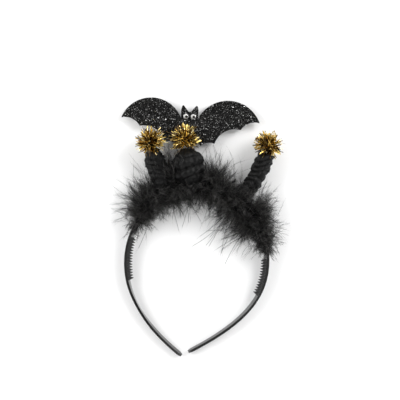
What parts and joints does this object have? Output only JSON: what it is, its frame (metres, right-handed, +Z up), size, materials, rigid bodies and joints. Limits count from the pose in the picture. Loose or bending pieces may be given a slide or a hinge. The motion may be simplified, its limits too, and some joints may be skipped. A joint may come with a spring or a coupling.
{
  "type": "bat headband",
  "caption": "Toothed hair hoop trimmed with marabou, with sprung stalks ending in gold tinsel pompoms and a glitter foam bat.",
  "frame": {"origin": "on the surface that the headband lies on, straight below the outside of the hoop's crown", "axes": "+X across the hoop, +Y from the hoop's open tips over its crown to the bat, +Z up from the surface towards the bat's face"},
  "size_m": [0.1488, 0.2294, 0.0304],
  "materials": {
    "black_plastic": "moulded black plastic, satin gloss",
    "black_marabou": "dyed black down plumes",
    "ruched_fabric": "gathered black fabric with a short nap",
    "stalk_wire": "dark spring wire",
    "gold_tinsel": "metallised gold film strips",
    "glitter_foam": "black foam sheet faced with glitter",
    "eye_white": "smooth white",
    "eye_black": "smooth black",
    "eye_clear": "clear moulded dome"
  },
  "bodies": {
    "root": {"hoop_band": "black_plastic", "marabou_boa": "black_marabou", "sleeve_left": "ruched_fabric", "sleeve_centre": "ruched_fabric", "sleeve_right": "ruched_fabric", "post_left": "stalk_wire", "post_centre": "stalk_wire", "post_right": "stalk_wire", "pompom_left": "gold_tinsel", "pompom_centre": "gold_tinsel", "pompom_right": "gold_tinsel", "bat_panel": "glitter_foam", "eye_back_left": "eye_white", "eye_back_right": "eye_white", "eye_pupil_left": "eye_black", "eye_pupil_right": "eye_black", "eye_dome_left": "eye_clear", "eye_dome_right": "eye_clear"}
  },
  "joints": []
}
